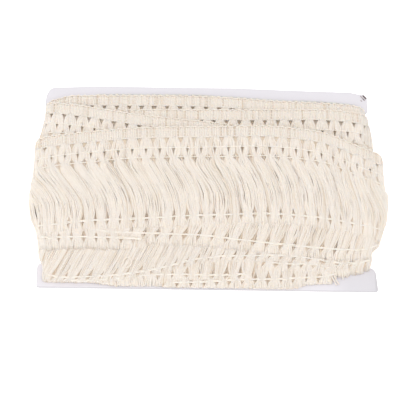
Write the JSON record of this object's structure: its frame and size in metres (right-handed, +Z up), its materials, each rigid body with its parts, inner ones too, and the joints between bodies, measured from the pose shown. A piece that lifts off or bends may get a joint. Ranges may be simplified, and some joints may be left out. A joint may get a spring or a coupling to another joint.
{
  "type": "roll of tassel fringe",
  "caption": "Cotton tassel fringe with a ribbed heading and a tack thread near its cut ends, wound in staggered turns round a flat white card that lies on its back.",
  "frame": {"origin": "middle of the bounding box at the level of the back, on which the roll lies", "axes": "+X along the card's long side, +Y from the fringe's cut ends to its heading, +Z up, out of the front face"},
  "size_m": [0.3047, 0.178, 0.0327],
  "materials": {
    "cotton": "matte undyed cotton yarn",
    "tack_thread": "fine cotton thread",
    "card_board": "smooth white board"
  },
  "bodies": {
    "root": {"card": "card_board", "inner_layers": "cotton", "outer_turn": "cotton", "top_turn_1": "cotton", "top_turn_2": "cotton", "top_turn_3": "cotton", "lower_turn_1": "cotton", "lower_turn_2": "cotton", "lower_turn_3": "cotton", "lower_turn_4": "cotton", "lower_turn_5": "cotton", "outer_thread": "tack_thread", "lower_thread_1": "tack_thread", "lower_thread_2": "tack_thread", "lower_thread_3": "tack_thread", "lower_thread_4": "tack_thread", "lower_thread_5": "tack_thread"}
  },
  "joints": []
}
